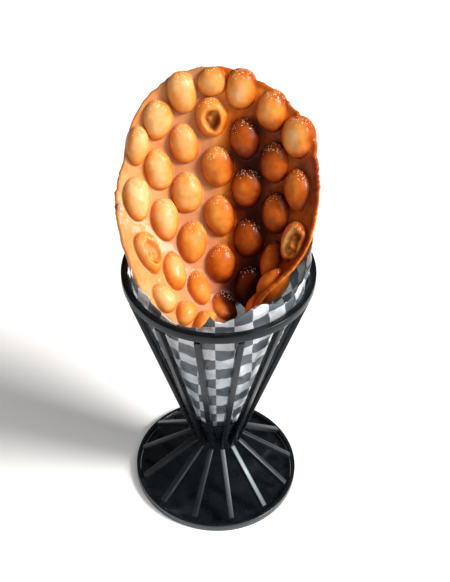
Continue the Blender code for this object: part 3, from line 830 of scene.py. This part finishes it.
def liner_shape():
    """Return the liner's crumpled wall as a bmesh, with its print laid out in a UV map."""
    shape = bmesh.new()
    bmesh.ops.create_cone(shape, cap_ends=False, segments=LINER_AROUND, radius1=1.0, radius2=1.0,
                          depth=1.0)
    upright = [edge for edge in shape.edges
               if abs(edge.verts[0].co.z - edge.verts[1].co.z) > 0.5]
    bmesh.ops.subdivide_edges(shape, edges=upright, cuts=LINER_ROWS, use_grid_fill=True)
    shape.verts.ensure_lookup_table()
    unit = np.array([vertex.co for vertex in shape.verts])
    angle = np.arctan2(unit[:, 0], -unit[:, 1])
    height = LINER_BOTTOM + (liner_top(angle) - LINER_BOTTOM) * (unit[:, 2] + 0.5)
    inset = CUP_THICKNESS + CLEARANCE
    plain = np.array([inside_bars(min(value, RING_BOTTOM)) for value in height]) - inset
    plain = plain + np.maximum(height - RING_BOTTOM, 0) * LINER_FLARE
    # Crumples push the paper in from the bars, in long facets and small dents.
    arc = plain * angle
    large, small = CRUMPLE_SIZES
    facets = np.abs(rough(arc, height, large, 31)) + 0.5 * np.abs(rough(arc, height, small, 32))
    blend = 1.0 - past(np.abs(angle), math.pi - 0.2, math.pi)
    radius = plain - CRUMPLE_DEPTH * facets * blend * past(height, LINER_BOTTOM, LINER_BOTTOM + 0.02)
    # Above the ring the loose top edge stands in flutes.
    flute = 0.5 + 0.5 * np.sin(FLUTE_COUNT * angle + 2.6 * rough(arc, height * 0, 0.03, 33))
    radius = radius - FLUTE_DEPTH * flute * blend * past(height, RING_BOTTOM, RING_BOTTOM + 0.014)
    shape.verts.index_update()
    for vertex, r, a, h in zip(shape.verts, radius, angle, height):
        vertex.co = around(r, a, h)
    # The print follows the unrolled cone, so each corner keeps its place before the crumples.
    half = math.atan2(bar_radius(RING_BOTTOM) - NECK_RADIUS, RING_BOTTOM - NECK_HEIGHT)
    widest = inside_bars(RING_BOTTOM) - inset
    out = np.minimum(plain, widest) / math.sin(half) + np.maximum(height - RING_BOTTOM, 0.0)
    chart = shape.loops.layers.uv.new("paper")
    for face in shape.faces:
        middle = face.calc_center_median()
        facing = math.atan2(middle.x, -middle.y)
        for loop in face.loops:
            far, turn = out[loop.vert.index], angle[loop.vert.index]
            turn = (turn + FULL_TURN * round((facing - turn) / FULL_TURN)) * math.sin(half)
            loop[chart].uv = PLEAT_TAKE_UP * far * math.sin(turn), far * math.cos(turn)
    bmesh.ops.transform(shape, matrix=lean_matrix(), verts=shape.verts)
    bmesh.ops.recalc_face_normals(shape, faces=shape.faces)
    return shape


class OBJECT_OT_liner(bpy.types.Operator):
    """Model the crumpled paper liner"""
    bl_idname = "waffle_stand.liner"
    bl_label = "Paper liner"

    def execute(self, context):
        look = context.scene.liner_look
        material = material_named("waxed_paper_checked", liner_paper, look)
        piece = finished_piece("checked_paper_liner", liner_shape(), material,
                               ["paper_liner"])
        wall = piece.modifiers.new("thickness", "SOLIDIFY")
        wall.thickness = look.thickness
        wall.offset = -1.0
        return {"FINISHED"}


def beam(shape, start, end, side, rounding):
    """Add a square bar with rounded edges, one face turned to the stand's axis."""
    along = (end - start).normalized()
    middle = (start + end) / 2
    across = along.cross(Vector((middle.x, middle.y, 0.0))).normalized()
    outward = across.cross(along).normalized()
    turn = Matrix((across, outward, along)).transposed().to_4x4()
    size = Matrix.Diagonal((side, side, (end - start).length, 1.0))
    made = bmesh.ops.create_cube(shape, size=1.0, matrix=Matrix.Translation(middle) @ turn @ size)
    edges = {edge for vertex in made["verts"] for edge in vertex.link_edges}
    bmesh.ops.bevel(shape, geom=list(edges), offset=rounding, segments=3, profile=0.5,
                    affect="EDGES", material=-1, clamp_overlap=True)


def turned(shape, profile, rounding):
    """Add a closed ring by spinning a profile of (radius, height) about +Z, edges rounded."""
    corners = [shape.verts.new((0.0, -radius, height)) for radius, height in profile]
    shape.faces.new(corners)
    bmesh.ops.bevel(shape, geom=corners, offset=rounding, segments=3, profile=0.5,
                    affect="VERTICES", material=-1, clamp_overlap=True)
    bmesh.ops.delete(shape, geom=shape.faces[:], context="FACES_ONLY")
    bmesh.ops.spin(shape, geom=shape.edges[:], cent=(0, 0, 0), axis=(0, 0, 1), angle=FULL_TURN,
                   steps=ROUND_STEPS, use_merge=True)
    bmesh.ops.remove_doubles(shape, verts=shape.verts, dist=1e-6)
    bmesh.ops.recalc_face_normals(shape, faces=shape.faces)


class OBJECT_OT_base(bpy.types.Operator):
    """Model the base plate, its rim and the spokes"""
    bl_idname = "waffle_stand.base"
    bl_label = "Base and spokes"

    def execute(self, context):
        look = context.scene.stand_look
        steel = material_named("powder_coated_steel_rubbed", glossy_steel, look)
        outside = BASE_RADIUS - RIM_THICKNESS - CLEARANCE
        shape = bmesh.new()
        bmesh.ops.create_cone(shape, cap_ends=True, segments=ROUND_STEPS, radius1=outside,
                              radius2=outside, depth=PLATE_THICKNESS,
                              matrix=Matrix.Translation((0.0, 0.0, PLATE_THICKNESS / 2)))
        finished_piece("steel_plate", shape, steel, ["base_plate"], smooth=False)
        shape = bmesh.new()
        inner = BASE_RADIUS - RIM_THICKNESS
        turned(shape, ((inner, 0.0), (BASE_RADIUS, 0.0), (BASE_RADIUS, RIM_HEIGHT),
                       (inner, RIM_HEIGHT)), look.edge_round)
        finished_piece("steel_rim", shape, steel, ["base_rim"])
        dusty = material_named("powder_coated_steel_dusty", dusty_steel, look)
        for index in range(SPOKE_COUNT):
            angle = FULL_TURN * (index + 0.5) / SPOKE_COUNT
            shape = bmesh.new()
            beam(shape, around(SPOKE_INNER_RADIUS, angle, SPOKE_INNER_HEIGHT),
                 around(SPOKE_OUTER_RADIUS, angle, SPOKE_OUTER_HEIGHT), SPOKE_SIDE, look.edge_round)
            finished_piece("steel_spoke_{:02d}".format(index + 1), shape, dusty,
                           ["spoke_{:02d}".format(index + 1)])
        return {"FINISHED"}


class OBJECT_OT_cone(bpy.types.Operator):
    """Model the cone's bars, top ring and neck cup"""
    bl_idname = "waffle_stand.cone"
    bl_label = "Cone of bars"

    def execute(self, context):
        look = context.scene.stand_look
        steel = material_named("powder_coated_steel", coated_steel, look)
        lean = lean_matrix()
        top = RING_BOTTOM - CLEARANCE - BAR_SIDE / 4
        for index in range(BAR_COUNT):
            angle = FULL_TURN * (index + 0.5) / BAR_COUNT + math.radians(BAR_PHASE)
            shape = bmesh.new()
            beam(shape, around(bar_radius(BAR_FOOT_HEIGHT), angle, BAR_FOOT_HEIGHT),
                 around(bar_radius(top), angle, top), BAR_SIDE, look.edge_round)
            bmesh.ops.transform(shape, matrix=lean, verts=shape.verts)
            finished_piece("steel_bar_{:02d}".format(index + 1), shape, steel,
                           ["bar_{:02d}".format(index + 1)])
        shape = bmesh.new()
        inner, high = RING_RADIUS - RING_WIDTH, RING_BOTTOM + RING_HEIGHT
        turned(shape, ((inner, RING_BOTTOM), (RING_RADIUS, RING_BOTTOM), (RING_RADIUS, high),
                       (inner, high)), look.edge_round * 1.6)
        bmesh.ops.transform(shape, matrix=lean, verts=shape.verts)
        finished_piece("steel_ring", shape, steel, ["top_ring"])
        shape = bmesh.new()
        foot, mouth = inside_bars(CUP_BOTTOM), inside_bars(CUP_TOP)
        turned(shape, ((foot - CUP_THICKNESS, CUP_BOTTOM), (foot, CUP_BOTTOM), (mouth, CUP_TOP),
                       (mouth - CUP_THICKNESS, CUP_TOP)), CUP_THICKNESS / 4)
        bmesh.ops.transform(shape, matrix=lean, verts=shape.verts)
        finished_piece("steel_cup", shape, steel, ["neck_cup"])
        return {"FINISHED"}


class SCENE_OT_stage(bpy.types.Operator):
    """Set the floor, the lights and the camera"""
    bl_idname = "waffle_stand.stage"
    bl_label = "Stage"

    def execute(self, context):
        look = context.scene.stage_look
        scene = context.scene
        shape = bmesh.new()
        bmesh.ops.create_grid(shape, x_segments=1, y_segments=1, size=6.0)
        mesh = bpy.data.meshes.new("floor")
        shape.to_mesh(mesh)
        shape.free()
        mesh.materials.append(stage_floor(look))
        floor = bpy.data.objects.new("floor", mesh)
        scene.collection.objects.link(floor)
        target = Vector((0.0, 0.0, 0.22))
        for name, kind, spot, size, power, tone in (
                ("key", "SUN", (0.72, -0.20, 0.66), math.radians(18), look.key_power, (1.0, 0.97, 0.93)),
                ("window", "AREA", (0.62, -0.68, 1.29), 0.7, look.fill_power, (1.0, 0.97, 0.93))):
            light = bpy.data.lights.new(name, kind)
            light.energy, light.color = power, tone
            if kind == "SUN":
                light.angle = size
            else:
                light.shape, light.size = "DISK", size
            lamp = bpy.data.objects.new(name, light)
            lamp.location = spot
            lamp.rotation_mode = "QUATERNION"
            aim = -Vector(spot) if kind == "SUN" else target - Vector(spot)
            lamp.rotation_quaternion = aim.to_track_quat("-Z", "Y")
            scene.collection.objects.link(lamp)
        world = bpy.data.worlds.new("studio")
        world.use_nodes = True
        backdrop = world.node_tree.nodes["Background"]
        backdrop.inputs["Color"].default_value = (1.0, 1.0, 1.0, 1.0)
        backdrop.inputs["Strength"].default_value = look.world_light
        scene.world = world
        lens = bpy.data.cameras.new("camera")
        lens.lens, lens.sensor_width = LENS, SENSOR
        lens.clip_start = 0.01
        camera = bpy.data.objects.new("camera", lens)
        camera.location = CAMERA_PLACE
        camera.rotation_mode = "QUATERNION"
        aim = Vector(CAMERA_AIM) - camera.location
        camera.rotation_quaternion = aim.to_track_quat("-Z", "Y") @ Quaternion(
            (0.0, 0.0, 1.0), math.radians(CAMERA_ROLL))
        scene.collection.objects.link(camera)
        scene.camera = camera
        scene.view_settings.view_transform = "Standard"
        return {"FINISHED"}


class VIEW3D_PT_waffle_stand(bpy.types.Panel):
    """Lists the pieces and the stage"""
    bl_label = "Bubble waffle in a stand"
    bl_idname = "VIEW3D_PT_waffle_stand"
    bl_space_type = "VIEW_3D"
    bl_region_type = "UI"
    bl_category = "Waffle"

    def draw(self, context):
        for maker in OPERATORS:
            self.layout.operator(maker.bl_idname)


OPERATORS = (OBJECT_OT_waffle, OBJECT_OT_liner, OBJECT_OT_base, OBJECT_OT_cone, SCENE_OT_stage)
LOOKS = {"waffle_look": WaffleLook, "liner_look": LinerLook, "stand_look": StandLook,
         "stage_look": StageLook}


def register():
    """Register the add-on's classes and its settings."""
    for made in (*LOOKS.values(), *OPERATORS, VIEW3D_PT_waffle_stand):
        bpy.utils.register_class(made)
    for name, group in LOOKS.items():
        setattr(bpy.types.Scene, name, PointerProperty(type=group))


def unregister():
    """Remove the add-on's settings and classes."""
    for name in LOOKS:
        delattr(bpy.types.Scene, name)
    for made in (VIEW3D_PT_waffle_stand, *reversed(OPERATORS), *LOOKS.values()):
        bpy.utils.unregister_class(made)


def main():
    """Model every piece in order."""
    register()
    bpy.ops.waffle_stand.waffle()
    bpy.ops.waffle_stand.liner()
    bpy.ops.waffle_stand.base()
    bpy.ops.waffle_stand.cone()
    bpy.ops.waffle_stand.stage()


if __name__ == "__main__":
    main()
